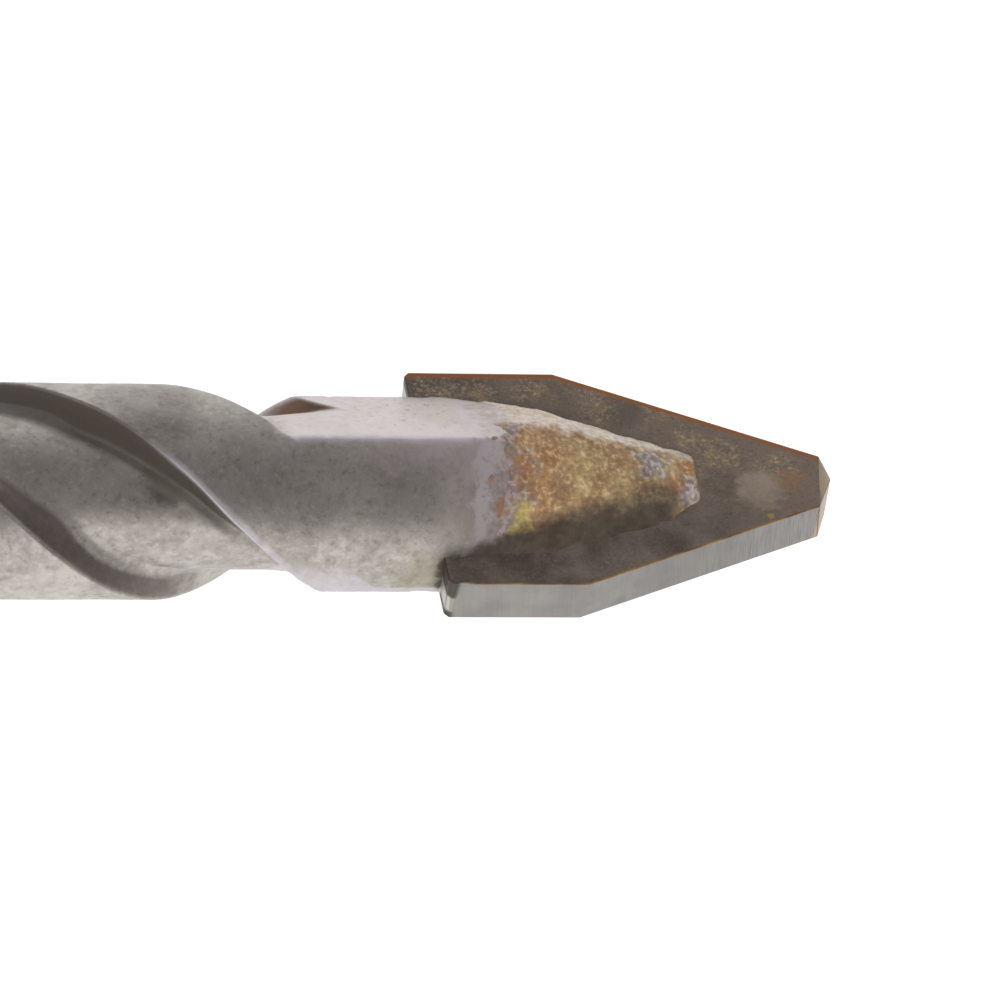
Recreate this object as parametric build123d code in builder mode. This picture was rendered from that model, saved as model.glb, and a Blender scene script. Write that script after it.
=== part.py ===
from build123d import *
from math import asin, atan2, cos, degrees, hypot, radians, sin
import os

# Rod: plain shank, then two right-hand flutes, sizes in mm and degrees
overall_length = 120.0
shank_diameter = 6.3
shank_chamfer = 0.6
flute_length = 80.0
flute_runout = 6.0
land_diameter = 6.3
web_diameter = 4.5
flute_pitch = 21.6
flute_angle = 104.0
lead_wall_angle = 12.0
back_wall_angle = 19.0

# Head: the flutes run on straight as two flats, up to a slotted conical nose
flat_across = 4.76
flat_turn = 56.9
flute_end_turn = 4.25
flat_runin = 2.6
web_swell_length = 3.0
head_length = 5.3
nose_length = 7.1
nose_end_diameter = 2.24
nose_end_round = 0.2

# Carbide plate: straight gauge edges, long tapered flanks and a chisel point
plate_width = 8.0
plate_thickness = 1.6
plate_length = 12.2
plate_gauge_length = 4.2
plate_end_width = 1.82
plate_corner_chamfer = 0.2
point_slope = 0.45
relief_slope = 0.145
point_bevel = 0.2

# Braze round the plate, and where the nose ends behind the point
braze_gap = 0.08
nose_setback = 4.25

# The drill lies on the plane Z = 0 on its lands and on one corner of the plate
axis_height = max(shank_diameter, land_diameter) / 2
plate_corner_radius = hypot(plate_width, plate_thickness) / 2
corner_reach = min(1.0, axis_height / plate_corner_radius)
plate_turn = degrees(atan2(plate_thickness, plate_width) - asin(corner_reach))

# Places along X, with the origin under the middle of the drill
tip_x = overall_length / 2
back_x = -tip_x
flute_start_x = tip_x - flute_length
nose_end_x = tip_x - nose_setback
nose_start_x = nose_end_x - nose_length
flute_end_x = nose_start_x - head_length
runin_end_x = flute_end_x + flat_runin
plate_back_x = tip_x - plate_length
slot_floor_x = plate_back_x - braze_gap

# Section sizes and angles that follow from the driving ones
land_radius = land_diameter / 2
web_radius = web_diameter / 2
flat_distance = flat_across / 2
flat_angle = plate_turn + flat_turn
flute_end_angle = plate_turn - flute_end_turn
slot_width = plate_thickness + 2 * braze_gap
swell_slope = (flat_distance - web_radius) / web_swell_length
overrun = 1.0
clearance = 0.02

# The plate's outline and the corners of its ground point
half_width = plate_width / 2
half_end = plate_end_width / 2
half_thickness = plate_thickness / 2
taper_start_x = plate_back_x + plate_gauge_length
lead_corner_x = tip_x - point_slope * half_end + relief_slope * half_thickness
taper_slope = (half_width - half_end) / (lead_corner_x - taper_start_x)
trail_setback = relief_slope * plate_thickness / (1 - point_slope * taper_slope)
trail_corner_x = lead_corner_x - trail_setback
trail_side = half_end + taper_slope * trail_setback
ridge_height = half_thickness - point_bevel
ridge_side = ridge_height * relief_slope / point_slope
side_direction = Vector(0, cos(radians(plate_turn)), sin(radians(plate_turn)))
face_direction = Vector(0, -sin(radians(plate_turn)), cos(radians(plate_turn)))

# The drill's axis, and the upright plane through it that the turned shapes are drawn on
drill_axis = Axis((0, 0, axis_height), (1, 0, 0))
profile_plane = Plane(origin=(0, 0, axis_height), x_dir=(1, 0, 0), z_dir=(0, -1, 0))


def section_plane(x):
    """The plane across the drill at x, with its own x axis along Y and y axis along Z."""
    return Plane(origin=(x, 0, axis_height), x_dir=(0, 1, 0), z_dir=(1, 0, 0))


def polar(radius, angle):
    """A point of a section from its distance to the axis and its angle."""
    return (radius * cos(radians(angle)), radius * sin(radians(angle)))


def plate_point(x, side, height):
    """A point from its place along the drill, across the plate and off its middle."""
    return Vector(x, 0, axis_height) + side_direction * side + face_direction * height


def fluted_outline(phase):
    """Two flutes that start at phase: lead wall, round floor, back wall, land."""
    for start in (phase, phase + 180):
        floor_start = start + lead_wall_angle
        floor_end = start + flute_angle - back_wall_angle
        flute_stop = start + flute_angle
        Line(polar(land_radius, start), polar(web_radius, floor_start))
        ThreePointArc(
            polar(web_radius, floor_start),
            polar(web_radius, (floor_start + floor_end) / 2),
            polar(web_radius, floor_end),
        )
        Line(polar(web_radius, floor_end), polar(land_radius, flute_stop))
        ThreePointArc(
            polar(land_radius, flute_stop),
            polar(land_radius, (flute_stop + start + 180) / 2),
            polar(land_radius, start + 180),
        )


def turned_profile(points):
    """A closed profile above the axis, for the turned shapes, from points (x, radius)."""
    with BuildSketch(profile_plane) as profile:
        with BuildLine():
            Polyline((points[0][0], 0), *points, (points[-1][0], 0), close=True)
        make_face()
    return profile.sketch


def twisted(section, x, length):
    """The section at x carried along the drill with the flutes' own twist."""
    return Solid.extrude_linear_with_rotation(
        section.sketch.faces()[0],
        center=(x, 0, axis_height),
        normal=(length, 0, 0),
        angle=360 * length / flute_pitch,
    )


# Head blank: round bar with two flats, turned down to the conical nose
with BuildPart() as head_blank:
    with BuildSketch(section_plane(flute_end_x)):
        Circle(land_radius)
        Rectangle(flat_across, land_diameter, rotation=flat_angle, mode=Mode.INTERSECT)
    extrude(amount=nose_end_x - flute_end_x)
    head_profile = turned_profile(
        [
            (flute_end_x, land_radius + overrun),
            (nose_start_x, land_radius + overrun),
            (nose_start_x, land_radius),
            (nose_end_x, nose_end_diameter / 2),
        ]
    )
    revolve(head_profile, axis=drill_axis, mode=Mode.INTERSECT)
    nose_rim = head_blank.edges().filter_by(GeomType.CIRCLE).sort_by(Axis.X)[-2:]
    fillet(nose_rim, nose_end_round)

# Run-in blank: where a lead wall twists on past the flute's end and dies on its flat
with BuildPart() as runin_blank:
    with BuildSketch(section_plane(flute_end_x), mode=Mode.PRIVATE) as runin_section:
        wall_foot = Vector(*polar(web_radius, flute_end_angle + lead_wall_angle))
        wall_edge = Vector(*polar(land_radius, flute_end_angle))
        wall = wall_edge - wall_foot
        with BuildLine():
            Polyline(
                wall_foot - wall * 0.5,
                wall_edge + wall * 0.5,
                polar(land_diameter, flute_end_angle + 30),
                polar(land_diameter, flute_end_angle + 90),
                close=True,
            )
        make_face()
    add(twisted(runin_section, flute_end_x, flat_runin))
    with BuildSketch(section_plane(flute_end_x)):
        with Locations(Rotation(0, 0, flat_angle)):
            Rectangle(land_diameter, land_diameter, align=(Align.MIN, Align.MAX))
    extrude(amount=flat_runin, mode=Mode.INTERSECT)
    rising_core = turned_profile(
        [
            (flute_end_x, flat_distance),
            (runin_end_x, flat_distance + swell_slope * flat_runin),
        ]
    )
    revolve(rising_core, axis=drill_axis, mode=Mode.SUBTRACT)

# Slot blank: the slab across the nose that the plate and its braze fill
with BuildPart() as slot_blank:
    with BuildSketch(section_plane(slot_floor_x)):
        Rectangle(plate_width + 2 * overrun, slot_width, rotation=plate_turn)
    extrude(amount=nose_end_x + overrun - slot_floor_x)

# Steel rod: shank, twisted flutes and slotted head in one piece
with BuildPart() as fluted_shank:
    with BuildSketch(section_plane(back_x)):
        Circle(shank_diameter / 2)
    extrude(amount=flute_start_x - back_x)
    chamfer(fluted_shank.edges().sort_by(Axis.X)[0], shank_chamfer)
    flute_run = flute_end_x - flute_start_x
    flute_start_angle = flute_end_angle - 360 * flute_run / flute_pitch
    with BuildSketch(section_plane(flute_start_x), mode=Mode.PRIVATE) as flute_section:
        with BuildLine():
            fluted_outline(flute_start_angle)
        make_face()
    add(twisted(flute_section, flute_start_x, flute_run))
    runout_slope = (land_radius - web_radius) / flute_runout
    runout_cone = turned_profile(
        [
            (flute_start_x, land_radius),
            (flute_start_x + (land_radius - web_radius / 2) / runout_slope, web_radius / 2),
        ]
    )
    revolve(runout_cone, axis=drill_axis)
    swollen_web = turned_profile(
        [
            (flute_end_x - 2 * web_swell_length, web_radius - swell_slope * web_swell_length),
            (flute_end_x, flat_distance - clearance),
        ]
    )
    revolve(swollen_web, axis=drill_axis)
    add(head_blank.part)
    add(runin_blank.part, mode=Mode.SUBTRACT)
    add(runin_blank.part.rotate(drill_axis, 180), mode=Mode.SUBTRACT)
    add(slot_blank.part, mode=Mode.SUBTRACT)
fluted_shank.part.label = "fluted_shank"

# Carbide plate, cut from a flat blank and ground to its chisel point
with BuildPart() as carbide_tip:
    with BuildSketch(Plane(origin=plate_point(0, 0, 0), x_dir=(1, 0, 0), z_dir=face_direction)):
        with BuildLine():
            Polyline(
                (plate_back_x, half_width - plate_corner_chamfer),
                (plate_back_x + plate_corner_chamfer, half_width),
                (taper_start_x, half_width),
                (lead_corner_x, half_end),
                (tip_x, half_end),
                (tip_x, -half_end),
                (lead_corner_x, -half_end),
                (taper_start_x, -half_width),
                (plate_back_x + plate_corner_chamfer, -half_width),
                (plate_back_x, -half_width + plate_corner_chamfer),
                close=True,
            )
        make_face()
    extrude(amount=half_thickness, both=True)
    for turn in (1, -1):
        leading = plate_point(lead_corner_x, half_end * turn, half_thickness * turn)
        trailing = plate_point(trail_corner_x, -trail_side * turn, half_thickness * turn)
        ridge_end = plate_point(tip_x, ridge_side * turn, ridge_height * turn)
        ridge_start = plate_point(tip_x, -ridge_side * turn, -ridge_height * turn)
        relief_normal = (ridge_end - leading).cross(ridge_start - leading)
        split(bisect_by=Plane(origin=leading, z_dir=relief_normal), keep=Keep.BOTTOM)
        bevel_normal = (trailing - leading).cross(ridge_end - leading)
        split(bisect_by=Plane(origin=leading, z_dir=bevel_normal), keep=Keep.BOTTOM)
carbide_tip.part.label = "carbide_tip"

# Braze: what is left of the slot inside the head once the plate is in
with BuildPart() as braze_seam:
    add(head_blank.part)
    add(slot_blank.part, mode=Mode.INTERSECT)
    add(carbide_tip.part, mode=Mode.SUBTRACT)
braze_seam.part.label = "braze_seam"

os.makedirs("parts", exist_ok=True)
export_step(fluted_shank.part, "parts/fluted_shank.step")
export_step(carbide_tip.part, "parts/carbide_tip.step")
export_step(braze_seam.part, "parts/braze_seam.step")
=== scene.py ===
import bpy
import math
import numpy as np
from mathutils import Matrix, Vector


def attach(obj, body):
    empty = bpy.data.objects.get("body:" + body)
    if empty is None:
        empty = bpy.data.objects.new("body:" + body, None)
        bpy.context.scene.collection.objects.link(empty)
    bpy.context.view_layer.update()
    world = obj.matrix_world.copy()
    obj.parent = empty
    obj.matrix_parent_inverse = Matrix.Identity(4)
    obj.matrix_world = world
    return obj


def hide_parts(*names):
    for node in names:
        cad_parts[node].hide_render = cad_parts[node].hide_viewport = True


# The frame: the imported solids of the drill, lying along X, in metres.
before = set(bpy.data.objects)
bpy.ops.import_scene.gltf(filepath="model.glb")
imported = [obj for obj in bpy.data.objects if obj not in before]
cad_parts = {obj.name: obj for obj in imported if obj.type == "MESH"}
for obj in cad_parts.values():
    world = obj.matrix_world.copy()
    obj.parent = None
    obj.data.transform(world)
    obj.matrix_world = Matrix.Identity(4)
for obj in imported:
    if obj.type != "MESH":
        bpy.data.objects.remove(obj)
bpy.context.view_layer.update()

# The rod: one bar of steel with two milled right-hand flutes, two flats and a turned nose.
# It is hardened and bead-blasted; every point of it is a radius at a place along and round the axis.
# Sizes are in mm and angles in degrees, and a flute's angles count from its lead edge.
MM = 0.001
axis_height = 3.15
land = 3.15
web = 2.25
web_swell = 0.09
swell_start = 43.0
pitch = 21.6
lead_foot, back_foot, flute_stop = 6.0, 85.0, 104.0
late_back_foot = back_foot + 8
back_steepens = (36.4, 38.0)
flute_start, flute_runout, flute_end, runin_end = -20.0, 6.0, 43.35, 45.95
end_phase = -43.5
lead_reach, back_reach = 50, 130
run_ahead, run_uneven, run_places = 6, 3, (41.5, 44.5)
hang_back, hang_begins, hang_ends = 2.6, (36.5, 38.3), (40.2, 41.6)
flat_angle, flat_height = 17.65, 2.38
head_begins = (flute_end - 0.7, flute_end + 0.2)
nose_start, nose_end, nose_tip, nose_round = 48.65, 55.75, 1.12, 0.2
nose_slope = (nose_tip - land) / (nose_end - nose_start)
slot_turn = math.radians(-39.25)

# Roundings where its surfaces meet, radii that stand for no surface, and the least cosine to divide by
lead_fillet, back_fillet, runin_fillet, flat_fillet = 0.25, 0.35, 0.2, 0.05
land_round, head_round, cone_round = 0.12, 0.09, 0.16
outside, endless = 6, 50.0
least_cosine = 0.02


def soft_min(a, b, width):
    """The lesser of a and b, with a parabola that rounds the crossing where they are within width."""
    share = np.clip(0.5 + 0.5 * (b - a) / width, 0, 1)
    return b + (a - b) * share - width * share * (1 - share)


def soft_max(a, b, width):
    """The greater of a and b, rounded in the same way."""
    return -soft_min(-a, -b, width)


def smooth(value, low, high):
    """A step from 0 at low to 1 at high that starts and ends level."""
    share = np.clip((value - low) / (high - low), 0, 1)
    return share * share * (3 - 2 * share)


def ripple(seed, points, sizes, waves=20):
    """An uneven field of about -1 to 1: sine waves of each size in random directions, larger ones higher."""
    draw = np.random.default_rng(seed)
    field = 0.0
    for size in sizes:
        turns = draw.normal(size=(3, waves))
        turns *= 2 * math.pi / size / np.linalg.norm(turns, axis=0) * draw.uniform(0.7, 1.3, waves)
        field = field + size * np.sin(points @ turns + draw.uniform(0, 2 * math.pi, waves)).sum(-1)
    return field / sum(sizes) / math.sqrt(waves / 2)


def wall(angle, first, second):
    """Radius at each angle of the straight line through two points given as (radius, angle)."""
    a, b = [radius * np.exp(1j * math.radians(at)) for radius, at in (first, second)]
    foot = a - (b - a) * (np.conj(b - a) * a).real / abs(b - a) ** 2
    lean = np.cos(np.radians(angle) - np.angle(foot))
    return np.where(lean > least_cosine, abs(foot) / np.maximum(lean, least_cosine), endless)


def twist(x):
    """Angle of the first flute's lead edge at x; it turns with the flutes and stands still outside them."""
    return end_phase + 360 * (np.clip(x, flute_start - 1.5, runin_end) - flute_end) / pitch


def past_edge(turned):
    """Angle past the nearer lead edge, from 50 degrees before it to 130 degrees past it."""
    return (turned + lead_reach) % (lead_reach + back_reach) - lead_reach


def hurry(x, turned):
    """Degrees by which a lead edge runs ahead of the twist where the cutter lifts out, more at the first
    flute. Just before that it hangs back a little."""
    ahead = (run_ahead + run_uneven * np.cos(np.radians(turned))) * smooth(x, *run_places)
    return ahead - hang_back * smooth(x, *hang_begins) * (1 - smooth(x, *hang_ends))


def rod_radius(x, turned):
    """Radius at x and at an angle past the lead edge: the least of the land, the cone, and the flute or the
    flats. A flute is the greatest of its floor and walls. With it come marks, each 0 to 1: wear with a
    painted highlight on an edge, dark scale with painted shade at a lead wall's foot, on that wall and on a
    back wall, and a mark on a flat."""
    at = past_edge(turned)
    ahead = hurry(x, turned)
    runout = land - (land - web) / flute_runout * (x - flute_start)
    floor = np.maximum(web + web_swell * np.maximum(x - swell_start, 0), runout)
    lead = wall(at - ahead, (land, 0), (web, lead_foot))
    steep = smooth(x, *back_steepens)
    early_back = wall(at, (web, back_foot), (land, flute_stop))
    late_back = wall(at, (web, late_back_foot), (land, flute_stop))
    back = early_back * (1 - steep) + late_back * steep
    flute = soft_max(soft_max(floor, lead, lead_fillet), back, back_fillet)

    from_flat = np.radians(twist(x) + turned - flat_angle)
    flat = flat_height / np.maximum(abs(np.cos(from_flat)), least_cosine)
    past_flat = flat_angle - twist(x)
    runin = np.where(at < past_flat, soft_max(floor, lead, runin_fillet), endless)
    head = soft_min(flat, runin, flat_fillet)
    share = smooth(x, *head_begins)
    fluted = soft_min(land, np.minimum(flute, outside), land_round)
    flatted = soft_min(land, np.minimum(head, outside), head_round)
    cone = land + nose_slope * (x - nose_start)
    radius = soft_min(fluted * (1 - share) + flatted * share, cone, cone_round)

    # An edge is worn bright on the side of the land, more so towards the flute's end, partly as a painted
    # highlight, and the back wall's foot has a painted glint there, a reflection along its valley
    near_lead = abs(at) < 30
    inner = np.minimum(flute, endless) * (1 - share) + np.minimum(head, endless) * share
    worn = 0.25 + (1.2 * smooth(x, 38.4, 39.9) + 1.4 * smooth(x, 40.6, 42.3)) * near_lead
    edge = np.clip(1 - np.maximum((inner - land) / worn, (land - inner) / 0.22), 0, 1)
    edge = edge * (cone > land) * np.maximum(share, near_lead * smooth(x, 38.8, 40.2))
    painted_glint = np.clip(1 - abs(back - floor + 0.3) / 0.2, 0, 1) * (abs(at - 85) < 30)
    painted_glint = painted_glint * smooth(x, 39.6, 40.4) * (1 - smooth(x, 41.2, 42.0))
    edge = np.maximum(edge, 0.8 * painted_glint)

    # Dark scale and painted shade lie on the walls below the land, and thin where the lead wall runs in to
    # its flat
    thin = 1 - 0.85 * smooth(x, 41.0, 42.2) * (1 - smooth(x, 43.0, 43.6))
    milled = (x > flute_start) * (x < runin_end + 0.3) * (abs(at - 20) < 24) * thin
    top = soft_min(land, np.minimum(flat, outside), head_round) * share + land * (1 - share)
    below_top = np.clip((top - radius) / 0.1, 0, 1) * milled
    side = np.clip((lead - floor) / 0.12 + 0.3, 0, 1) * below_top
    foot = np.clip(1.7 - abs(at - ahead - lead_foot - 2) / 8, 0, 1) * below_top * (1 - share)
    level = np.clip((land - flat) / 0.06, 0, 1) * share * (1 - side)
    lifted = 1.8 * steep * (1 - smooth(x, 39.6, 41.0))
    rear = np.clip((back - floor) / 0.15 + 0.5 - lifted, 0, 1) * np.clip((land - radius) / 0.12, 0, 1)
    rear = rear * (x > flute_start) * (abs(at - 95) < 30) * (1 - smooth(x, 39.6, 41.8))
    return radius, {"edge": edge, "foot": foot, "side": side, "level": level, "rear": rear}


def tube(name, points):
    """A skin over rings of points, row by row along the piece, with a centre point that closes each end."""
    rows, columns = points.shape[:2]
    ring = np.arange(rows * columns).reshape(rows, columns)
    ahead = np.roll(ring, -1, axis=1)
    quads = np.stack([ring[:-1], ahead[:-1], ahead[1:], ring[1:]], axis=-1).reshape(-1, 4)
    ends = np.stack([points[0].mean(axis=0), points[-1].mean(axis=0)])
    near, far = rows * columns, rows * columns + 1
    first = np.stack([np.full(columns, near), ahead[0], ring[0]], axis=-1)
    last = np.stack([np.full(columns, far), ring[-1], ahead[-1]], axis=-1)
    corners = np.concatenate([points.reshape(-1, 3), ends]) * MM
    mesh = bpy.data.meshes.new(name)
    mesh.from_pydata(corners.tolist(), [], quads.tolist() + first.tolist() + last.tolist())
    mesh.shade_smooth()
    made = bpy.data.objects.new(name, mesh)
    bpy.context.scene.collection.objects.link(made)
    return made


def paint(piece, label, values):
    """Stores one number a point of the mesh for its material to read; the ends get the last ring's."""
    layer = piece.data.attributes.new(label, "FLOAT", "POINT")
    spare = np.full(len(piece.data.vertices) - values.size, values.flat[-1])
    layer.data.foreach_set("value", np.concatenate([values.ravel(), spare]).astype(np.float32))


# Rings: each at a place along the drill with the radius it may have there, closer where form is fine
stations = [(-60.0, 1.6), (-60.0, 2.5), (-59.99, 2.55), (-59.96, 2.585)]
stations += [(-59.44, 3.11), (-59.4, 3.14), (-59.3, land)]
stations += [(x, land) for x in np.arange(-58, -22, 4.0)]
stretches = ((-21.5, 35, 0.6), (35, 42.3, 0.25), (42.3, 46, 0.08), (46, 48, 0.25), (48, 55.5, 0.13))
for low, high, step in stretches:
    stations += [(x, land) for x in np.arange(low, high, step)]
for a in np.radians([18, 40, 62, 80]):
    stations += [(nose_end + nose_round * (math.sin(a) - 1), nose_tip + nose_round * (math.cos(a) - 1))]
stations += [(nose_end, nose_tip - nose_round - 0.02), (nose_end, 0.5)]
stations = np.array(stations)

# Points round a ring: even ones, and closer ones on both sides of each corner of the flutes and flats
corners = np.array([0, lead_foot, back_foot, late_back_foot, flute_stop, -23.1, 58.8])
fine = (np.concatenate([corners, corners + 180])[:, None] + np.linspace(-2.4, 2.4, 9)).ravel() % 360
around = np.sort(np.concatenate([np.linspace(0, 360, 220, endpoint=False), fine]))
around = around[np.diff(around, append=360 + around[0]) > 0.3][None, :]
along, caps = stations[:, :1], stations[:, 1:]
turned = around + hurry(along, around) * (1 - smooth(abs(past_edge(around)), 12, 40))
radius, marks = rod_radius(along, turned)
radius = np.minimum(radius, caps)
angle = np.radians(twist(along) + turned)
places = np.stack([along + 0 * angle, radius * np.cos(angle), radius * np.sin(angle)], axis=-1)

# The blasted skin is a little uneven, and the edges have small nicks
skin_depth, nick_depth, skin_inner = 0.008, 0.03, 1.3
uneven = ripple(4, places, (3.0, 1.2, 0.5))
nicks = np.clip(ripple(9, places, (0.9, 0.4)) - 0.75, 0, 1) * marks["edge"]
radius = radius - skin_depth * (1 + np.clip(uneven, -1, 1)) * (radius > skin_inner) - nick_depth * nicks
places = np.stack([along + 0 * angle, radius * np.cos(angle), axis_height + radius * np.sin(angle)], axis=-1)
rod = tube("blasted_rod", places)
for label, values in marks.items():
    paint(rod, label, values)
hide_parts("fluted_shank")
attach(rod, "root")


def put(tree, kind, values=None, **settings):
    """Adds a node to a tree: settings are its properties, values fill its inputs, and sockets are linked."""
    node = tree.nodes.new(kind)
    for name, value in settings.items():
        setattr(node, name, value)
    for key, value in (values or {}).items():
        if isinstance(value, bpy.types.NodeSocket):
            tree.links.new(value, node.inputs[key])
        else:
            node.inputs[key].default_value = value
    return node


def maths(tree, operation, a, b=0.0, clamp=False):
    """One Math node, and its result."""
    return put(tree, "ShaderNodeMath", {0: a, 1: b}, operation=operation, use_clamp=clamp).outputs[0]


def times(tree, a, b):
    """The product of two values."""
    return maths(tree, "MULTIPLY", a, b)


def plus(tree, a, b):
    """The sum of two values."""
    return maths(tree, "ADD", a, b)


def minus(tree, a, b):
    """What is left of a value when another is taken away."""
    return maths(tree, "SUBTRACT", a, b)


def blend(tree, factor, a, b):
    """Mixes two colours by a factor, and gives the result."""
    return put(tree, "ShaderNodeMix", {"Factor": factor, 6: a, 7: b}, data_type="RGBA").outputs[2]


def laid(tree, under, mask, strength, over):
    """Lays a colour over another where a mask is, as strongly as the product of mask and strength."""
    return blend(tree, times(tree, mask, strength), under, over)


def ramp(tree, value, low, high, out_low=0.0, out_high=1.0):
    """Maps low..high to out_low..out_high with a smooth step, and gives the result."""
    ends = {"Value": value, "From Min": low, "From Max": high, "To Min": out_low, "To Max": out_high}
    return put(tree, "ShaderNodeMapRange", ends, interpolation_type="SMOOTHSTEP").outputs[0]


def along_ramp(tree, value, low, high, out_low=0.0, out_high=1.0):
    """The same for a place that is measured in mm."""
    return ramp(tree, value, low * MM, high * MM, out_low, out_high)


def noise(tree, place, size, detail=3.0, roughness=0.55):
    """A cloudy value from 0 to 1 whose patches are about size mm wide."""
    values = {"Vector": place, "Scale": 1 / (size * MM), "Detail": detail, "Roughness": roughness}
    return put(tree, "ShaderNodeTexNoise", values).outputs["Fac"]


def painted(tree, label):
    """The number that the mesh stores under a name."""
    return put(tree, "ShaderNodeAttribute", attribute_name=label).outputs["Fac"]


def bumped(tree, shader, height, strength, depth):
    """Gives a shader the fine relief of a height, depth mm deep."""
    values = {"Strength": strength, "Distance": depth * MM, "Height": height}
    tree.links.new(put(tree, "ShaderNodeBump", values).outputs[0], shader.inputs["Normal"])


def material(name):
    """A new material: itself, its tree, its shader and the object coordinates."""
    made = bpy.data.materials.new(name)
    made.use_nodes = True
    shader = made.node_tree.nodes["Principled BSDF"]
    place = put(made.node_tree, "ShaderNodeTexCoord").outputs["Object"]
    return made, made.node_tree, shader, place


def colour(red, green, blue):
    """A colour as a screen shows it, from 0 to 255, made linear for a shader."""
    return [((c / 255 + 0.055) / 1.055) ** 2.4 if c > 10 else c / 3295 for c in (red, green, blue)] + [1]


# Stain: a ragged patch round one point of a surface, 1 inside and 0 outside
stain = bpy.data.node_groups.new("ragged_stain", "ShaderNodeTree")
stain_inputs = {
    "Place": "Vector",
    "Centre": "Vector",
    "Radius": "Float",
    "Ragged": "Float",
    "Grain": "Float",
}
for label, kind in stain_inputs.items():
    stain.interface.new_socket(label, in_out="INPUT", socket_type="NodeSocket" + kind)
stain.interface.new_socket("Mask", in_out="OUTPUT", socket_type="NodeSocketFloat")
taken, given = put(stain, "NodeGroupInput").outputs, put(stain, "NodeGroupOutput")
ends = {0: taken["Place"], 1: taken["Centre"]}
away = put(stain, "ShaderNodeVectorMath", ends, operation="DISTANCE").outputs["Value"]
cloudy = {"Vector": taken["Place"], "Scale": taken["Grain"], "Detail": 4.0, "Roughness": 0.65}
cloud = put(stain, "ShaderNodeTexNoise", cloudy).outputs["Fac"]
torn = times(stain, minus(stain, cloud, 0.5), taken["Ragged"])
reach = plus(stain, maths(stain, "DIVIDE", away, taken["Radius"]), torn)
stain.links.new(ramp(stain, reach, 1.25, 0.65), given.inputs["Mask"])


def spot(tree, place, centre, radius, ragged=2.5, grain=0.5):
    """A ragged stain in a material, with its centre, radius and grain in mm."""
    node = put(tree, "ShaderNodeGroup", node_tree=stain)
    tree.links.new(place, node.inputs["Place"])
    node.inputs["Centre"].default_value = Vector(centre) * MM
    node.inputs["Radius"].default_value = radius * MM
    node.inputs["Ragged"].default_value = ragged
    node.inputs["Grain"].default_value = 1 / (grain * MM)
    return node.outputs["Mask"]


def slot_place(tree, place):
    """The object coordinates with X turned along the drill, Y across the plate and Z off its middle."""
    down = {"Vector": place, "Location": (0, 0, -axis_height * MM)}
    shifted = put(tree, "ShaderNodeMapping", down, vector_type="POINT").outputs[0]
    turned_back = {"Vector": shifted, "Rotation": (-slot_turn, 0, 0)}
    return put(tree, "ShaderNodeMapping", turned_back, vector_type="POINT").outputs[0]


def folded_place(tree, place):
    """The same for both sides of the plate: X along the drill, Y across the plate and Z off it, as vector
    and parts."""
    parts = put(tree, "ShaderNodeSeparateXYZ", {0: slot_place(tree, place)}).outputs
    across = times(tree, parts["Y"], maths(tree, "SIGN", parts["Z"]))
    off = maths(tree, "ABSOLUTE", parts["Z"])
    folded = put(tree, "ShaderNodeCombineXYZ", {0: parts["X"], 1: across, 2: off}).outputs[0]
    return folded, parts["X"], across, off


def torn_off(tree, place):
    """An uneven distance of up to 1.5 mm either way, to tear a stain's edge with."""
    return times(tree, minus(tree, noise(tree, place, 0.45, 4.0, 0.65), 0.5), 3.0 * MM)


def scorch_and_shade_band(tree, along, across, off, ragged):
    """Where flux lies charred beside the plate, with painted shade below the crust: 1 in a band along its
    lower half, 0 above the band's uneven top, which is the lesser of a rising and a falling line."""
    rising = minus(tree, times(tree, along, 0.27), 11.98 * MM)
    falling = minus(tree, 3.88 * MM, times(tree, along, 0.046))
    torn_height = plus(tree, off, times(tree, ragged, 0.25))
    above = minus(tree, torn_height, maths(tree, "MINIMUM", rising, falling))
    lower = times(tree, along_ramp(tree, across, -0.3, -0.9), along_ramp(tree, along, 55.5, 54.6))
    return times(tree, along_ramp(tree, above, 0.25, -0.3), lower)


# Colours of the blasted steel: its grain, the flats, the heat's tints, dirt, wear, splashes and painted
# light and shade
blasted_dark, blasted_light = colour(174, 167, 162), colour(196, 190, 184)
dot_brown, pit_dark, bead_bright = colour(150, 142, 130), colour(132, 123, 109), colour(220, 214, 208)
flat_pale, flat_warm, flat_speck = colour(220, 211, 209), colour(188, 176, 168), colour(146, 136, 122)
painted_shade_land, painted_light_land = colour(116, 107, 104), colour(226, 220, 212)
blotch_light, blotch_dark = colour(218, 212, 204), colour(146, 138, 122)
heat_grey, haze_pale, olive = colour(152, 143, 138), colour(220, 209, 210), colour(150, 144, 112)
film_light, film_dark, film_rust = colour(180, 169, 172), colour(136, 125, 127), colour(150, 120, 98)
ridge_highlight_pale, film_pale = colour(206, 196, 202), colour(204, 194, 196)
back_wall_shade_brown, side_shade_brown, runin_brown = colour(108, 97, 93), colour(124, 110, 105), colour(112, 82, 62)
foot_shade_dark, oil_dark, worn_edge_highlight = colour(72, 65, 58), colour(84, 80, 68), colour(220, 213, 224)
brass_splash, flux_and_shade_black = colour(158, 118, 84), colour(76, 67, 56)

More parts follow.
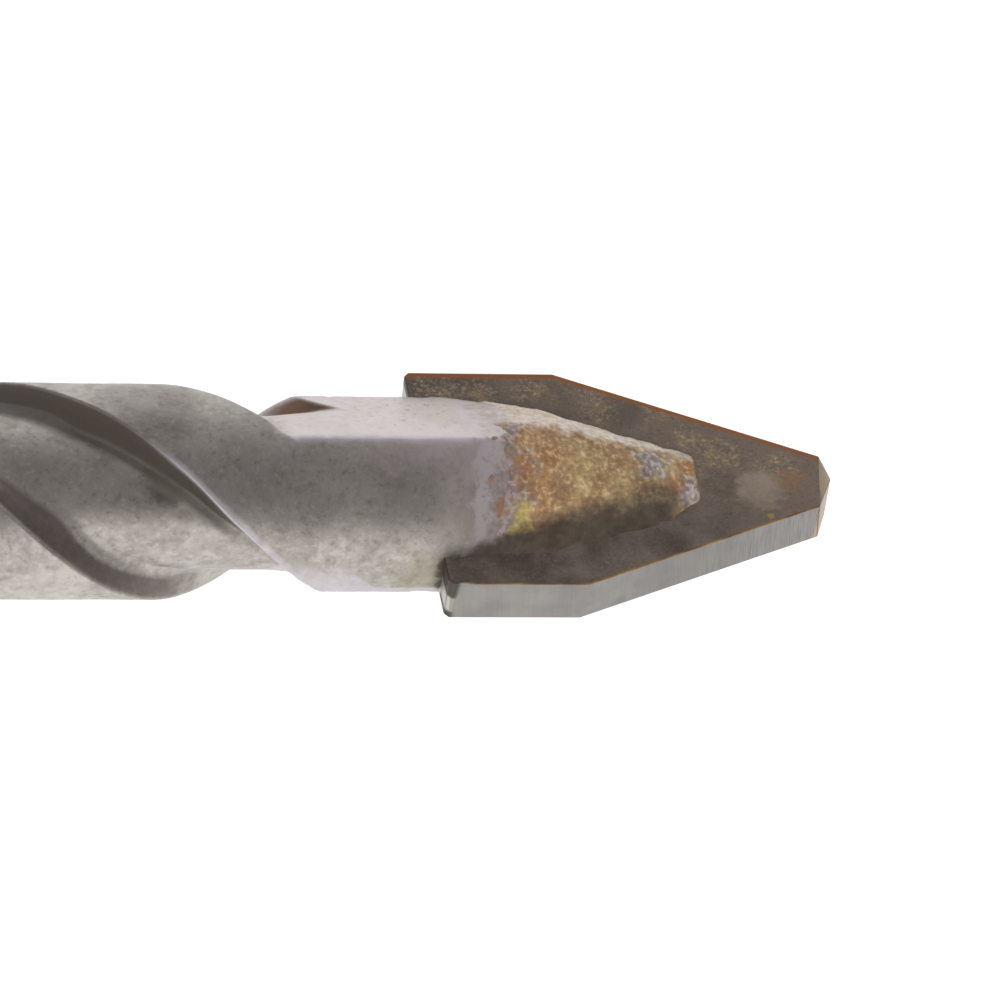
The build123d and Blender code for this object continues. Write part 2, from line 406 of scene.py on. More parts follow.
steel, tree, shader, place = material("bead_blasted_steel")
mottle = noise(tree, place, 2.2, 4.0, 0.6)
grain = noise(tree, place, 0.13, 2.0, 0.5)
pits = noise(tree, place, 0.17, 3.0, 0.6)
dots = noise(tree, place, 0.4, 3.0, 0.6)
blotches = noise(tree, place, 0.33, 2.0, 0.5)
parts = put(tree, "ShaderNodeSeparateXYZ", {0: place}).outputs
level = painted(tree, "level")
grey = blend(tree, ramp(tree, mottle, 0.3, 0.7), blasted_dark, blasted_light)
grey = blend(tree, ramp(tree, dots, 0.5, 0.7, 0.0, 0.4), grey, dot_brown)
grey = blend(tree, ramp(tree, pits, 0.54, 0.74, 0.0, 0.5), grey, pit_dark)
grey = blend(tree, ramp(tree, pits, 0.46, 0.3, 0.0, 0.35), grey, bead_bright)
grey = laid(tree, grey, level, 0.75, flat_pale)
grey = laid(tree, grey, level, along_ramp(tree, parts["X"], 46.5, 48.5, 0.0, 0.45), flat_warm)
more_specks = along_ramp(tree, parts["X"], 44.5, 47.5, 0.1, 0.6)
grey = laid(tree, grey, level, times(tree, ramp(tree, pits, 0.58, 0.68), more_specks), flat_speck)
# Painted shade on the land towards the far side, and painted light on the land towards the near side
grey = laid(tree, grey, spot(tree, place, (39.3, 2.65, 4.9), 1.5, 0.8, 0.6), 0.4, painted_shade_land)
grey = laid(tree, grey, spot(tree, place, (36.4, -2.8, 4.5), 1.3, 0.8, 0.6), 0.3, painted_light_land)
near_side = along_ramp(tree, parts["Y"], -0.2, -1.4)
grey = laid(tree, grey, ramp(tree, blotches, 0.54, 0.66, 0.0, 0.35), near_side, blotch_light)
grey = laid(tree, grey, ramp(tree, blotches, 0.46, 0.32, 0.0, 0.3), near_side, blotch_dark)

# The brazing heat has left the nose a duller grey, with hazy, olive and lilac bands before the braze
uneven_x = plus(tree, parts["X"], times(tree, mottle, 1.2 * MM))
heat = times(tree, along_ramp(tree, uneven_x, 47.5, 49.3), minus(tree, 1.0, level))
grey = laid(tree, grey, heat, 0.7, heat_grey)
bloom = times(tree, spot(tree, place, (48.3, 1.5, 5.9), 1.4, 1.6, 0.3), 0.3)
haze = times(tree, spot(tree, place, (46.8, 2.1, 5.5), 1.6, 1.6, 0.6), 0.4)
grey = blend(tree, plus(tree, bloom, haze), grey, haze_pale)
grey = laid(tree, grey, spot(tree, place, (47.3, -2.5, 5.1), 1.0, 1.2), 0.4, olive)
torn_x = plus(tree, parts["X"], times(tree, minus(tree, dots, 0.5), 1.6 * MM))
# The pale band where the cone begins is partly heat tint and partly a painted highlight along that ridge,
# laid on more strongly towards the far side
band = times(tree, along_ramp(tree, torn_x, 48.45, 48.75), along_ramp(tree, torn_x, 49.25, 48.9))
film = along_ramp(tree, torn_x, 48.7, 49.8, 0.0, 0.9)
film = times(tree, film, ramp(tree, level, 0.0, 1.0, 1.0, 0.25))
rusty = times(tree, along_ramp(tree, torn_x, 49.0, 49.6, 0.0, 0.6), film)
lilac = blend(tree, ramp(tree, pits, 0.35, 0.65), film_light, film_dark)
grey = blend(tree, film, grey, blend(tree, rusty, lilac, film_rust))
grey = laid(tree, grey, band, along_ramp(tree, parts["Y"], -1.6, 0.2, 0.4, 0.68), ridge_highlight_pale)
grey = laid(tree, grey, spot(tree, place, (49.4, 1.28, 6.0), 0.5, 1.6, 0.3), 0.5, film_pale)

# Dark scale and painted shade on the flutes' walls, worn edges with a painted highlight, and brass and burnt
# flux that have run on to the steel, with painted shade beside the plate
grey = laid(tree, grey, painted(tree, "rear"), 0.8, back_wall_shade_brown)
grey = laid(tree, grey, painted(tree, "side"), 0.92, side_shade_brown)
browned = times(tree, painted(tree, "side"), spot(tree, place, (44.4, 2.6, 3.4), 2.0, 1.0, 0.5))
grey = laid(tree, grey, browned, 0.8, runin_brown)
grey = laid(tree, grey, painted(tree, "foot"), 0.85, foot_shade_dark)
grey = laid(tree, grey, spot(tree, place, (39.7, 0.35, 5.4), 0.7, 1.6, 0.4), 0.6, oil_dark)
grey = laid(tree, grey, painted(tree, "edge"), 0.65, worn_edge_highlight)
folded, along, across, off = folded_place(tree, place)
for centre, size in (((49.5, -2.1, 1.97), 0.34), ((50.0, -1.0, 2.56), 0.4)):
    grey = laid(tree, grey, spot(tree, folded, centre, size, 2.5, 0.3), 0.8, brass_splash)
# Burnt flux beside the plate, with painted shade: a band below the crust, and dark spots by the plate's rear
# corners, partly painted shade in the gap the braze left there
burnt_and_shade = scorch_and_shade_band(tree, along, across, off, torn_off(tree, place))
burnt_and_shade = times(tree, burnt_and_shade, along_ramp(tree, along, 47.6, 48.0))
for centre in ((47.95, -3.1, 0.5), (47.95, -3.15, 0.1), (48.0, 3.1, 0.3)):
    burnt_and_shade = maths(tree, "MAXIMUM", burnt_and_shade, spot(tree, folded, centre, 0.36, 1.0, 0.3))
grey = laid(tree, grey, burnt_and_shade, 0.92, flux_and_shade_black)
tree.links.new(grey, shader.inputs["Base Color"])

# Heat, film, flux with its painted shade, the dark scale and painted shade at a lead wall's foot, and wear
# each take some of the bare metal's mirror away
bare = minus(tree, ramp(tree, heat, 0.0, 1.0, 0.85, 0.6), times(tree, film, 0.45))
bare = times(tree, bare, minus(tree, 1.0, times(tree, burnt_and_shade, 0.8)))
dark_foot, worn = times(tree, painted(tree, "foot"), 0.9), times(tree, painted(tree, "edge"), 0.4)
bare = times(tree, bare, minus(tree, 1.0, maths(tree, "MAXIMUM", dark_foot, worn)))
tree.links.new(bare, shader.inputs["Metallic"])
roughness = plus(tree, ramp(tree, dots, 0.3, 0.7, 0.4, 0.48), times(tree, heat, 0.1))
tree.links.new(roughness, shader.inputs["Roughness"])
bumped(tree, shader, plus(tree, grain, times(tree, pits, 0.8)), 0.3, 0.02)
rod.data.materials.append(steel)

# The plate: pressed and sintered carbide, 1.6 mm thick, let into the slot across the nose.
# Its flanks and point are ground bright; its faces keep the brown skin of the brazing heat.
plate_back, plate_gauge_end, plate_tip = 47.8, 52.0, 60.0
half_width, half_end, half_thick, corner_cut = 4.0, 0.91, 0.8, 0.14
point_slope, relief_slope, point_bevel = 0.45, 0.145, 0.2
edge_round, edge_least_angle = 0.04, 28
lead_x = plate_tip - point_slope * half_end + relief_slope * half_thick
taper = (half_width - half_end) / (lead_x - plate_gauge_end)
setback = relief_slope * 2 * half_thick / (1 - point_slope * taper)
ridge_rise = half_thick - point_bevel
ridge_side = ridge_rise * relief_slope / point_slope


def face_corners(lead_back, trail_back):
    """A face's eight corners, from the places of its two rear ones, which the press left a little askew."""
    return [
        (lead_back, half_width - corner_cut, half_thick),
        (lead_back + corner_cut, half_width, half_thick),
        (plate_gauge_end, half_width, half_thick),
        (lead_x, half_end, half_thick),
        (lead_x - setback, -half_end - taper * setback, half_thick),
        (plate_gauge_end, -half_width, half_thick),
        (trail_back + corner_cut, -half_width, half_thick),
        (trail_back, -half_width + corner_cut, half_thick),
    ]


face = face_corners(plate_back - 0.34, plate_back + 0.02)
turned_over = [(x, -side, -height) for x, side, height in face_corners(plate_back + 0.13, plate_back - 0.2)]
ridge = [(plate_tip, ridge_side, ridge_rise), (plate_tip, -ridge_side, -ridge_rise)]
local = np.array(face + turned_over + ridge)


def on_plate(x, side, height):
    """A point from its place along the drill, across the plate and off its middle, as X, Y, Z in mm."""
    y = side * math.cos(slot_turn) - height * math.sin(slot_turn)
    z = side * math.sin(slot_turn) + height * math.cos(slot_turn) + axis_height
    return np.stack([x, y, z], axis=-1)


# Corners 0 to 7 go round the front face, 8 to 15 round the rear one, and 16 and 17 end the point's ridge
skins = [tuple(range(7, -1, -1)), tuple(range(15, 7, -1))]
flanks = [(1, 2, 13, 14), (2, 3, 12, 13), (9, 10, 5, 6), (10, 11, 4, 5)]
flanks += [(0, 1, 14, 15), (8, 9, 6, 7), (7, 0, 15, 8)]
points = [(3, 16, 17, 12), (11, 17, 16, 4), (3, 4, 16), (11, 12, 17)]
plate_mesh = bpy.data.meshes.new("carbide_plate")
plate_mesh.from_pydata((on_plate(*local.T) * MM).tolist(), [], skins + flanks + points)
plate = bpy.data.objects.new("carbide_plate", plate_mesh)
bpy.context.scene.collection.objects.link(plate)
plate_mesh.shade_smooth()
bevel = plate.modifiers.new("ground_edges", "BEVEL")
bevel.width = edge_round * MM
bevel.segments = 2
bevel.limit_method = "ANGLE"
bevel.angle_limit = math.radians(edge_least_angle)
bevel.harden_normals = True
bevel.material = 2
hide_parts("carbide_tip")
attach(plate, "root")


def stretched(tree, place, scale):
    """Coordinates scaled on each axis, to draw a pattern out into streaks."""
    return put(tree, "ShaderNodeMapping", {"Vector": place, "Scale": scale}).outputs[0]


# Colours of the plate's skin with its painted shade, its ground flanks and their browned edges
skin_dark, skin_brown, skin_lit = colour(82, 72, 67), colour(122, 110, 102), colour(134, 119, 106)
dot_light, dot_dark, smear_tan = colour(138, 124, 104), colour(64, 55, 48), colour(144, 126, 100)
fleck_ochre, fleck_dark, painted_shade_grey = colour(204, 184, 146), colour(60, 51, 43), colour(64, 58, 58)
smudge_grey, rust_red, dot_yellow = colour(170, 156, 140), colour(156, 116, 84), colour(158, 140, 74)
edge_orange = colour(156, 92, 40)
ground_dark, ground_light, ground_shade = colour(146, 143, 141), colour(162, 159, 154), colour(134, 131, 128)
ground_far, mark_dark, point_tan = colour(160, 158, 155), colour(124, 120, 116), colour(196, 176, 150)
ground_rear, flux_brown = colour(206, 204, 196), colour(74, 65, 54)
rim_dark, rim_light, rim_rear = colour(124, 90, 56), colour(166, 128, 82), colour(168, 164, 156)

# Flecks of ochre lie thickest in patches on the front face's upper half, each (along, across) in mm
fleck_patches = ((48.2, 3.4), (49.6, 3.3), (51.2, 3.4), (53.3, 2.6), (55.8, 1.45), (56.7, 0.95), (58.5, 0.5))

skin, tree, shader, place = material("heated_carbide")
flat_place = slot_place(tree, place)
parts = put(tree, "ShaderNodeSeparateXYZ", {0: flat_place}).outputs
cloud = noise(tree, place, 1.6, 4.0, 0.6)
fleck = noise(tree, stretched(tree, flat_place, (0.8, 1.0, 1.0)), 0.2, 5.0, 0.8)
dots = noise(tree, place, 0.1, 3.0, 0.7)
brown = blend(tree, ramp(tree, cloud, 0.3, 0.7), skin_dark, skin_brown)
lit = plus(tree, times(tree, parts["X"], 0.8), parts["Y"])
brown = blend(tree, along_ramp(tree, lit, 41.5, 46.5, 0.0, 0.7), brown, skin_lit)
brown = blend(tree, ramp(tree, dots, 0.54, 0.74, 0.0, 0.45), brown, dot_light)
brown = blend(tree, ramp(tree, dots, 0.44, 0.28, 0.0, 0.4), brown, dot_dark)
upper = along_ramp(tree, parts["Y"], -1.5, 1.0, 0.15, 1.0)
flecked = ramp(tree, noise(tree, place, 1.8, 2.0, 0.5), 0.4, 0.64, 0.0, 0.7)
for centre_x, centre_side in fleck_patches:
    patch = spot(tree, flat_place, (centre_x, centre_side, half_thick), 0.55, 2.0, 0.3)
    flecked = maths(tree, "MAXIMUM", flecked, patch)
large, small = ramp(tree, fleck, 0.5, 0.66, 0.0, 0.6), ramp(tree, dots, 0.54, 0.68, 0.0, 0.6)
ochre = times(tree, maths(tree, "ADD", large, small, True), flecked)
smear = times(tree, ramp(tree, noise(tree, place, 0.5, 4.0, 0.65), 0.48, 0.62, 0.0, 0.7), flecked)
brown = laid(tree, brown, smear, upper, smear_tan)
brown = laid(tree, brown, times(tree, ochre, upper), 0.9, fleck_ochre)
brown = laid(tree, brown, ramp(tree, fleck, 0.44, 0.34), 0.5, fleck_dark)
# Painted shade on the skin above the crust and just ahead of the nose's end
shade_above_crust = spot(tree, flat_place, (53.9, 2.6, half_thick), 0.7, 1.2, 0.4)
shade_ahead_of_nose = spot(tree, flat_place, (56.5, -0.2, half_thick), 0.55, 1.2, 0.4)
brown = laid(tree, brown, maths(tree, "MAXIMUM", shade_above_crust, shade_ahead_of_nose), 0.35, painted_shade_grey)
smudge = spot(tree, flat_place, (57.7, -0.4, half_thick), 0.72, 1.2, 0.25)
brown = laid(tree, brown, smudge, ramp(tree, cloud, 0.35, 0.6, 0.4, 0.7), smudge_grey)
brown = laid(tree, brown, spot(tree, flat_place, (58.7, 0.0, half_thick), 0.34, 7.0, 0.12), 0.7, rust_red)
brown = blend(tree, spot(tree, flat_place, (57.86, -1.41, half_thick), 0.1, 2.0, 0.1), brown, dot_yellow)

# The heat's orange runs along the upper edge. Inward is how far a point is inside it, a little unevenly
inner_gauge = minus(tree, half_width * MM, parts["Y"])
past_gauge = minus(tree, parts["X"], plate_gauge_end * MM)
inner_taper = minus(tree, inner_gauge, times(tree, past_gauge, taper))
inward = plus(tree, maths(tree, "MINIMUM", inner_gauge, inner_taper), times(tree, fleck, 0.2 * MM))
brown = blend(tree, along_ramp(tree, inward, 0.38, 0.2, 0.0, 0.9), brown, edge_orange)
tree.links.new(brown, shader.inputs["Base Color"])
tree.links.new(ramp(tree, fleck, 0.4, 0.7, 0.5, 0.7), shader.inputs["Roughness"])
shader.inputs["Specular IOR Level"].default_value = 0.35
bumped(tree, shader, plus(tree, fleck, dots), 0.4, 0.02)


def fluxed(tree, place, ragged):
    """Where flux has run over the plate's rear end: by each face, and on its lower side to the middle."""
    _, along, across, off = folded_place(tree, place)
    lower = along_ramp(tree, across, 0.0, -1)
    from_face = plus(tree, off, times(tree, lower, 0.42 * MM))
    reach = plus(tree, along, times(tree, ragged, 0.1 * MM))
    run = along_ramp(tree, reach, 48.28, 48.1)
    return times(tree, along_ramp(tree, from_face, 0.45, 0.6, 0.0, 0.93), run)


ground, tree, shader, place = material("ground_carbide")
parts = put(tree, "ShaderNodeSeparateXYZ", {0: slot_place(tree, place)}).outputs
sheared = plus(tree, parts["X"], times(tree, parts["Z"], 0.16))
ground_place = put(tree, "ShaderNodeCombineXYZ", {0: sheared, 1: parts["Y"], 2: parts["Z"]}).outputs[0]
wheel_marks = noise(tree, stretched(tree, ground_place, (1.0, 0.5, 0.03)), 0.045, 3.0, 0.6)
cloud = noise(tree, place, 1.2, 3.0, 0.6)
flux = fluxed(tree, place, cloud)
bright = blend(tree, ramp(tree, cloud, 0.3, 0.7), ground_dark, ground_light)
more_marks = along_ramp(tree, parts["X"], 53, 58.5, 0.08, 0.5)
bright = blend(tree, along_ramp(tree, parts["X"], 53.4, 54.8, 0.0, 0.45), bright, ground_shade)
bright = blend(tree, along_ramp(tree, parts["X"], 56.4, 57.8, 0.0, 0.5), bright, ground_far)
bright = laid(tree, bright, ramp(tree, wheel_marks, 0.42, 0.68), more_marks, mark_dark)
bright = blend(tree, along_ramp(tree, parts["X"], 59.45, 59.6, 0.0, 0.8), bright, point_tan)
bright = blend(tree, along_ramp(tree, parts["X"], 48.12, 48.0, 0.0, 0.8), bright, ground_rear)
bright = blend(tree, flux, bright, flux_brown)
tree.links.new(bright, shader.inputs["Base Color"])
tree.links.new(minus(tree, 0.8, times(tree, flux, 0.7)), shader.inputs["Metallic"])
tree.links.new(ramp(tree, wheel_marks, 0.3, 0.7, 0.4, 0.46), shader.inputs["Roughness"])
shader.inputs["Specular IOR Level"].default_value = 0.1
bumped(tree, shader, wheel_marks, 0.08, 0.01)

rim, tree, shader, place = material("browned_edge")
along = put(tree, "ShaderNodeSeparateXYZ", {0: place}).outputs["X"]
cloud = noise(tree, place, 0.6, 3.0, 0.6)
brown = blend(tree, ramp(tree, cloud, 0.35, 0.65), rim_dark, rim_light)
brown = blend(tree, along_ramp(tree, along, 48.7, 48.2), brown, rim_rear)
brown = blend(tree, fluxed(tree, place, cloud), brown, flux_brown)
tree.links.new(brown, shader.inputs["Base Color"])
shader.inputs["Metallic"].default_value = 0.4
tree.links.new(ramp(tree, cloud, 0.3, 0.7, 0.4, 0.55), shader.inputs["Roughness"])
for made in (skin, ground, rim):
    plate_mesh.materials.append(made)
finishes = [0] * len(skins) + [1] * (len(flanks) + len(points))
plate_mesh.polygons.foreach_set("material_index", finishes)

# The braze: brass run in round the plate, with a fillet on both its faces and round the nose.
# It is left as it cooled: a rough crust of brass and burnt flux over the nose.
crust_from, crust_to, crust_half, crust_step = 47.86, 56.6, 3.25, 0.055
crust_base, crust_low, crust_high, halvings = 0.3, 0.2, 3.6, 30
crust_thick, crust_rough, crust_sunk = 0.045, 0.028, 0.06
crust_begins, crust_margin = (49.0, 50.1), 0.25
fillet_width, fillet_least = 0.75, 0.16
edge_drop, edge_run = 0.12, 0.12
flat_across_plate = math.radians(flat_angle) - slot_turn


def nose_distance(x, side, height):
    """How far a point is outside the nose: the most of its distances to the cone, the flat and the end."""
    cone_radius = np.minimum(land, land + nose_slope * (x - nose_start))
    cone = (np.hypot(side, height) - cone_radius) * math.cos(math.atan(nose_slope))
    flat = abs(side * math.cos(flat_across_plate) + height * math.sin(flat_across_plate)) - flat_height
    return soft_max(soft_max(cone, flat, 0.1), x - nose_end + 0.02, 0.2)


def crust_height(x, side, seed):
    """Height off the plate's middle at which the nose and the plate, melted together by the fillet's width,
    and thickened by the crust, end. It is found by halving an interval thirty times."""
    flat_points = np.stack([x, side, 0 * x], axis=-1)
    lumps = ripple(seed, flat_points, (0.9, 0.45, 0.22, 0.13), 24)
    wander = ripple(seed + 1, flat_points, (1.2, 0.5))
    begun = smooth(x + 0.25 * ripple(seed + 2, flat_points, (0.9, 0.45)), *crust_begins)
    beyond = nose_distance(x, side, half_thick + 0 * x)
    lower_side = smooth(-side, -0.5, 1.2) * (1 - smooth(x, 54.6, 55.7)) * smooth(x, 48.6, 51.2)
    spread = 0.02 + 0.16 * lower_side + (0.02 + 0.1 * lower_side) * wander
    thick = (crust_thick + crust_rough * lumps) * begun - crust_sunk * (1 - begun)
    thick = thick - edge_drop * smooth(beyond, spread, spread + edge_run + 0.2 * lower_side)
    melt = fillet_width * (fillet_least + (1 - fillet_least) * lower_side)
    low, high = 0 * x + crust_low, 0 * x + crust_high
    for _ in range(halvings):
        middle = (low + high) / 2
        inside = soft_min(nose_distance(x, side, middle), middle - half_thick, melt) < thick
        low, high = np.where(inside, middle, low), np.where(inside, high, middle)
    return (low + high) / 2


rows = np.arange(crust_from, crust_to, crust_step)[:, None]
columns = np.linspace(-1, 1, round(2 * crust_half / crust_step))[None, :]
outline = half_width - taper * np.maximum(rows - plate_gauge_end, 0) - crust_margin
x, side = rows + 0 * columns, columns * np.minimum(crust_half, outline)
crusts = []
for name, turn, seed in (("braze_front", 1, 11), ("braze_rear", -1, 23)):
    height = crust_height(x, side, seed)
    top = on_plate(x, side * turn, height * turn)
    base = on_plate(x, side * turn, (0 * x + crust_base) * turn)
    grid = np.arange(x.size).reshape(x.shape)
    quads = np.stack([grid[:-1, :-1], grid[1:, :-1], grid[1:, 1:], grid[:-1, 1:]], axis=-1).reshape(-1, 4)
    rim_ring = np.concatenate([grid[:-1, 0], grid[-1, :-1], grid[:0:-1, -1], grid[0, :0:-1]])
    ahead = np.roll(rim_ring, -1)
    skirt = np.stack([ahead, rim_ring, rim_ring + x.size, ahead + x.size], axis=-1)
    bottom = quads[:, ::-1] + x.size
    mesh = bpy.data.meshes.new(name)
    corners = np.concatenate([top.reshape(-1, 3), base.reshape(-1, 3)]) * MM
    mesh.from_pydata(corners.tolist(), [], np.concatenate([quads, skirt, bottom]).tolist())
    mesh.shade_smooth()
    piece = bpy.data.objects.new(name, mesh)
    bpy.context.scene.collection.objects.link(piece)
    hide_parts("braze_seam")
    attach(piece, "root")
    crusts.append(piece)

# Colours of the crust: brass, lilac and light skins on it, flux with painted shade below the crust, and
# where it begins
brass_dark, brass_light, brass_red = colour(168, 136, 98), colour(192, 168, 124), colour(184, 140, 102)
lilac_dark, lilac_light, copper = colour(158, 145, 146), colour(182, 170, 172), colour(176, 128, 86)
flux_yellow, umber, grit_light = colour(204, 182, 108), colour(128, 100, 78), colour(232, 212, 170)
cream_pale, cream_tan = colour(226, 215, 206), colour(206, 190, 158)
scorch_shade_dark, scorch_shade_light = colour(70, 62, 55), colour(86, 77, 70)
cooled_dark, cooled_light = colour(138, 124, 122), colour(172, 158, 158)
cooled_brown, cooled_pale = colour(160, 126, 96), colour(206, 196, 194)

# Its patches: the centre along the drill, across the plate and off its middle, and the radius.
# The lilac ones have a strength too
lilac_patches = (((54.23, -0.12, 1.55), 0.52, 0.95), ((55.47, -0.63, 1.02), 0.5, 0.95))
lilac_patches += (((50.45, -0.95, 2.5), 0.3, 0.5),)
copper_patches = (((50.04, -1.02, 2.56), 0.42), ((49.35, -2.27, 1.91), 0.36), ((55.5, 0.05, 1.18), 0.32))
copper_patches += (((55.0, -0.6, 1.2), 0.28), ((50.9, -0.6, 2.5), 0.4))
umber_patches = (((54.1, -0.75, 1.4), 0.45), ((51.26, -1.34, 1.99), 0.4), ((50.15, -1.6, 2.2), 0.35))

crust, tree, shader, place = material("braze_crust")
folded, along, across, off = folded_place(tree, place)
grit = noise(tree, place, 0.16, 2.0, 0.5)
patchy = noise(tree, place, 0.7, 3.0, 0.6)
ragged = torn_off(tree, place)
ragged_x = plus(tree, along, ragged)
gold = blend(tree, ramp(tree, patchy, 0.38, 0.62), brass_dark, brass_light)
gold = blend(tree, along_ramp(tree, ragged_x, 52.6, 50.6, 0.0, 0.6), gold, brass_red)
lilac = blend(tree, ramp(tree, grit, 0.4, 0.6), lilac_dark, lilac_light)
gold = blend(tree, along_ramp(tree, ragged_x, 50.4, 49.8, 0.0, 0.8), gold, lilac)
for centre, size, strength in lilac_patches:
    gold = laid(tree, gold, spot(tree, folded, centre, size, 3.5, 0.3), strength, lilac)
for centre, size in copper_patches:
    gold = laid(tree, gold, spot(tree, folded, centre, size, 3.5, 0.3), 0.85, copper)
for centre in ((49.95, -2.1, 1.88), (50.0, -2.38, 1.5)):
    gold = laid(tree, gold, spot(tree, folded, centre, 0.4, 2.0, 0.3), 0.9, flux_yellow)
for centre, size in umber_patches:
    gold = laid(tree, gold, spot(tree, folded, centre, size, 2.0, 0.3), 0.45, umber)
bare = along_ramp(tree, plus(tree, across, times(tree, ragged, 0.4)), 0.3, 0.8)
cream = blend(tree, ramp(tree, patchy, 0.5, 0.62, 0.0, 0.5), cream_pale, cream_tan)
gold = laid(tree, gold, bare, 0.85, cream)
burnt_and_shade = scorch_and_shade_band(tree, along, across, off, ragged)
started = along_ramp(tree, plus(tree, along, times(tree, ragged, 0.4)), 49.5, 50.3)
where_gritty = times(tree, minus(tree, 1.0, bare), started)
gold = laid(tree, gold, ramp(tree, grit, 0.52, 0.74, 0.0, 0.4), where_gritty, grit_light)
# Burnt flux with painted shade in the band below the crust
scorch_and_shade = blend(tree, ramp(tree, patchy, 0.35, 0.65), scorch_shade_dark, scorch_shade_light)
gold = laid(tree, gold, burnt_and_shade, 0.94, scorch_and_shade)
cooled = blend(tree, ramp(tree, grit, 0.4, 0.62), cooled_dark, cooled_light)
cooled = blend(tree, ramp(tree, patchy, 0.48, 0.6), cooled, cooled_brown)
cooled = blend(tree, along_ramp(tree, across, 0.5, 1.3), cooled, cooled_pale)
gold = blend(tree, ramp(tree, plus(tree, started, burnt_and_shade), 0.0, 1.0, 0.9, 0.0), gold, cooled)

# The grit's grains darken and lighten it, less where it is bare or in the charred, shaded band, and not
# where it hasn't begun
speck = plus(tree, ramp(tree, grit, 0.5, 0.64, 0.0, 0.18), ramp(tree, grit, 0.32, 0.52, 0.78, 1.04))
calm = maths(tree, "MAXIMUM", times(tree, bare, 0.6), times(tree, burnt_and_shade, 0.8))
for share in (calm, minus(tree, 1.0, started)):
    speck = plus(tree, speck, times(tree, minus(tree, 1.0, speck), share))
gold = put(tree, "ShaderNodeHueSaturation", {"Value": speck, "Color": gold}).outputs[0]
tree.links.new(gold, shader.inputs["Base Color"])
tree.links.new(plus(tree, 0.15, times(tree, bare, 0.6)), shader.inputs["Metallic"])
tree.links.new(ramp(tree, grit, 0.3, 0.7, 0.62, 0.45), shader.inputs["Roughness"])
bumped(tree, shader, grit, 0.4, 0.04)
for piece in crusts:
    piece.data.materials.append(crust)

# The floor: a wide white table that the drill lies on. It shows white to the camera
# and to reflections, and still takes the drill's soft shadow.
floor_half, floor_white, floor_glow, glow_share = 2.0, 0.85, 1.2, 0.85
floor_corners = [(x * floor_half, y * floor_half, 0) for x, y in ((-1, -1), (1, -1), (1, 1), (-1, 1))]
floor_mesh = bpy.data.meshes.new("floor")
floor_mesh.from_pydata(floor_corners, [], [(0, 1, 2, 3)])
floor = bpy.data.objects.new("floor", floor_mesh)
bpy.context.scene.collection.objects.link(floor)
white, tree, shader, place = material("white_table")
shader.inputs["Base Color"].default_value = (floor_white, floor_white, floor_white, 1)
shader.inputs["Roughness"].default_value = 0.9
shader.inputs["Specular IOR Level"].default_value = 0.1
path = put(tree, "ShaderNodeLightPath").outputs
seen = plus(tree, path["Is Camera Ray"], path["Is Glossy Ray"])
seen = maths(tree, "ADD", seen, path["Is Transmission Ray"], True)
glow = put(tree, "ShaderNodeEmission", {"Color": (1, 1, 1, 1), "Strength": floor_glow}).outputs[0]
both = {0: times(tree, seen, glow_share), 1: shader.outputs[0], 2: glow}
mixed = put(tree, "ShaderNodeMixShader", both).outputs[0]
tree.links.new(mixed, tree.nodes["Material Output"].inputs["Surface"])
floor_mesh.materials.append(white)

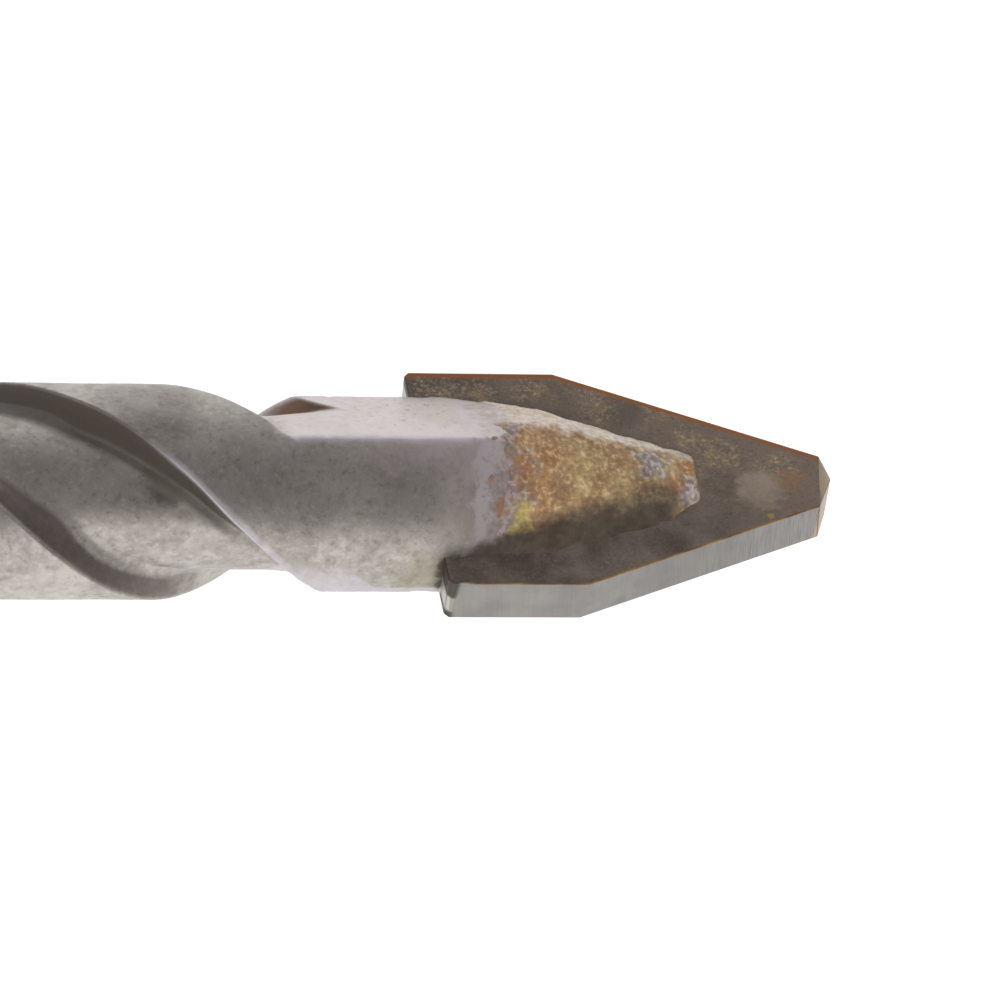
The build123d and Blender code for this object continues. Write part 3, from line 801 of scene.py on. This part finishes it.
# The light: a white room, dim overhead where the camera is, a soft box on the near side,
# and a large one over the drill that lights it evenly and isn't mirrored in the metal.
# The camera itself sees the room white.
near_level, far_level, overhead_level = 0.9, 0.43, 0.12
near_fade, far_fade, side_reach = 0.78, 1.35, 0.8
overhead_tint = (1, 0.93, 0.97, 1)
world = bpy.data.worlds.new("studio")
bpy.context.scene.world = world
world.use_nodes = True
tree = world.node_tree
background = tree.nodes["Background"].inputs
looking = put(tree, "ShaderNodeTexCoord").outputs["Generated"]
direction = put(tree, "ShaderNodeSeparateXYZ", {0: looking}).outputs
path = put(tree, "ShaderNodeLightPath").outputs
sides = ramp(tree, direction["Y"], -side_reach, side_reach, near_level, far_level)
fades = ramp(tree, direction["Y"], -side_reach, side_reach, near_fade, far_fade)
room = ramp(tree, direction["Z"], 0.0, fades, sides, overhead_level)
tint = blend(tree, ramp(tree, direction["Z"], 0.2, 0.9), (1, 1, 1, 1), overhead_tint)
tree.links.new(maths(tree, "MAXIMUM", room, path["Is Camera Ray"]), background["Strength"])
tree.links.new(tint, background["Color"])


def soft_box(name, place, target, size, power, tint):
    """Adds a square area light at place, turned towards target, and gives its object."""
    lamp = bpy.data.lights.new(name, "AREA")
    lamp.shape = "SQUARE"
    lamp.size = size
    lamp.energy = power
    lamp.color = tint
    holder = bpy.data.objects.new(name, lamp)
    holder.location = place
    holder.rotation_euler = (Vector(target) - Vector(place)).to_track_quat("-Z", "Y").to_euler()
    bpy.context.scene.collection.objects.link(holder)
    return holder


head_middle = (0.045, 0.0, 0.003)
soft_box("near_box", (0.05, -0.45, 0.28), head_middle, 0.35, 0.42, (1.0, 0.99, 0.96))
fill_box = soft_box("fill_box", (0.02, -0.1, 0.6), head_middle, 0.5, 2.0, (1.0, 0.99, 0.97))
fill_box.visible_glossy = False

# The camera: it looks down on the last 30 mm of the drill, leaning a little towards the shank.
lean = math.radians(12.5)
roll = math.radians(0.38)
camera_distance = 176.8
lens, sensor, nearest, farthest = 216, 36, 0.005, 10
aim = Vector((50.0, -0.168, axis_height))
forward = Vector((math.sin(lean), 0, -math.cos(lean)))
across = Vector((math.cos(lean), 0, math.sin(lean)))
upward = Vector((0, 1, 0))
right = across * math.cos(roll) + upward * math.sin(roll)
up = upward * math.cos(roll) - across * math.sin(roll)
camera = bpy.data.objects.new("camera", bpy.data.cameras.new("camera"))
bpy.context.scene.collection.objects.link(camera)
camera.data.sensor_width = sensor
camera.data.lens = lens
camera.data.clip_start = nearest
camera.data.clip_end = farthest
turn = Matrix((right, up, -forward)).transposed()
camera.matrix_world = Matrix.Translation((aim - forward * camera_distance) * MM) @ turn.to_4x4()
bpy.context.scene.camera = camera
bpy.context.scene.view_settings.view_transform = "Standard"
